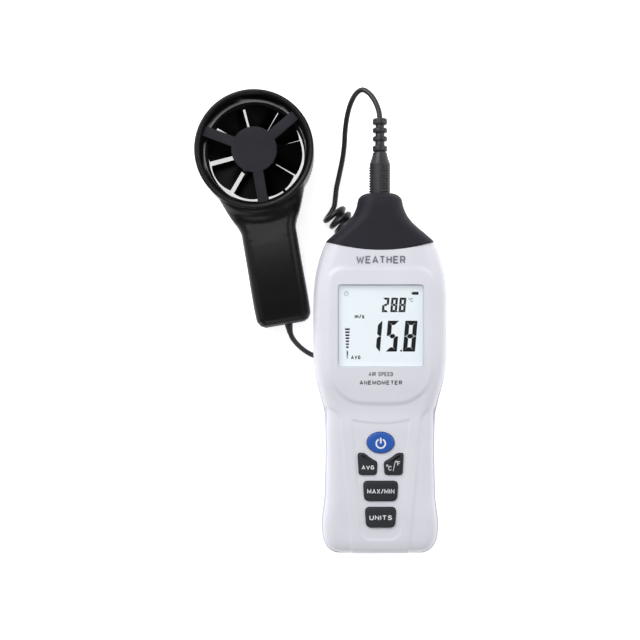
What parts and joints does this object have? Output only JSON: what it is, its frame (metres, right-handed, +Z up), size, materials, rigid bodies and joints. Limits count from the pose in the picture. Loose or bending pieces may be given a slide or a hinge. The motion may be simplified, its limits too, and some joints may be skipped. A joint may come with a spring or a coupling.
{
  "type": "handheld weather meter",
  "caption": "Handheld vane anemometer: a waisted white meter with a display and keypad, and a corded black vane probe lying beside it.",
  "frame": {"origin": "on the table, in the middle of the footprint of the meter and the probe, the cord left out", "axes": "+Z up from the table through the display, +Y along the meter towards its neck, +X to the meter's right"},
  "size_m": [0.1408, 0.2607, 0.038],
  "materials": {
    "shell": "satin moulded ABS, fine texture",
    "cap": "soft black moulded ABS",
    "probe_shell": "satin black moulded ABS",
    "guard": "dark moulded nylon",
    "vane": "black moulded polycarbonate",
    "window": "clear acrylic",
    "gasket": "soft foam",
    "lcd": "liquid crystal panel",
    "backlight": "white diffuser",
    "elastomer": "silicone",
    "board": "glass epoxy with green mask",
    "parts": "moulded epoxy",
    "spring_steel": "plain",
    "key_rubber": "matt silicone",
    "key_blue": "matt blue silicone",
    "battery": "lacquered steel can",
    "leads": "PVC sleeve",
    "screw_steel": "zinc plated",
    "socket": "moulded nylon",
    "nickel": "nickel plate",
    "gold": "gold flash",
    "plug_rubber": "moulded PVC",
    "cord_pvc": "satin PVC",
    "jewel": "synthetic ruby",
    "bead": "epoxy dipped"
  },
  "bodies": {
    "meter": {"front_shell": "shell", "rear_shell": "shell", "neck_cap": "cap", "display_window": "window", "display_gasket": "gasket", "lcd_glass": "lcd", "backlight": "backlight", "lcd_frame": "spring_steel", "contact_strips": "elastomer", "main_board": "board", "board_parts": "parts", "buzzer": "parts", "dome_switches": "spring_steel", "keypad_mat": "key_rubber", "battery": "battery", "battery_snap": "leads", "case_screws": "screw_steel", "board_screws": "screw_steel", "jack_socket": "socket", "jack_leads": "leads"},
    "power_key": {"power_key": "key_blue"},
    "average_key": {"average_key": "key_rubber"},
    "temperature_key": {"temperature_key": "key_rubber"},
    "max_min_key": {"max_min_key": "key_rubber"},
    "units_key": {"units_key": "key_rubber"},
    "battery_door": {"battery_door": "shell"},
    "probe": {"plug_grip": "plug_rubber", "plug_boot": "plug_rubber", "plug_shell": "nickel", "plug_pins": "gold", "cord_lead": "cord_pvc", "cord_curl": "cord_pvc", "cord_tail": "cord_pvc", "cord_gland": "plug_rubber", "probe_front": "probe_shell", "probe_back": "probe_shell", "front_bridge": "guard", "rear_bridge": "guard", "front_bearing": "jewel", "rear_bearing": "jewel", "pickup_board": "board", "temperature_sensor": "bead", "probe_board": "board", "probe_screws": "screw_steel"},
    "impeller": {"impeller": "vane", "axle": "screw_steel"}
  },
  "joints": [
    {"name": "power_key_press", "type": "slide", "parent": "meter", "child": "power_key", "axis": [0, 0, -1], "range_m": [0, 0.001], "stiffness_N_per_m": 800, "springref_m": -0.0004},
    {"name": "average_key_press", "type": "slide", "parent": "meter", "child": "average_key", "axis": [0, 0, -1], "range_m": [0, 0.001], "stiffness_N_per_m": 800, "springref_m": -0.0004},
    {"name": "temperature_key_press", "type": "slide", "parent": "meter", "child": "temperature_key", "axis": [0, 0, -1], "range_m": [0, 0.001], "stiffness_N_per_m": 800, "springref_m": -0.0004},
    {"name": "max_min_key_press", "type": "slide", "parent": "meter", "child": "max_min_key", "axis": [0, 0, -1], "range_m": [0, 0.001], "stiffness_N_per_m": 800, "springref_m": -0.0004},
    {"name": "units_key_press", "type": "slide", "parent": "meter", "child": "units_key", "axis": [0, 0, -1], "range_m": [0, 0.001], "stiffness_N_per_m": 800, "springref_m": -0.0004},
    {"name": "battery_door_hinge", "type": "hinge", "parent": "meter", "child": "battery_door", "pos_m": [0.0331, -0.1037, 0.0013], "axis": [-1, 0, 0], "range_deg": [0, 90]},
    {"name": "plug_slide", "type": "slide", "parent": "meter", "child": "probe", "axis": [0, 1, 0], "range_m": [0, 0.012]},
    {"name": "impeller_spin", "type": "hinge", "parent": "probe", "child": "impeller", "pos_m": [-0.0371, 0.0959, 0.0146], "axis": [0, 0, 1], "continuous": true}
  ]
}
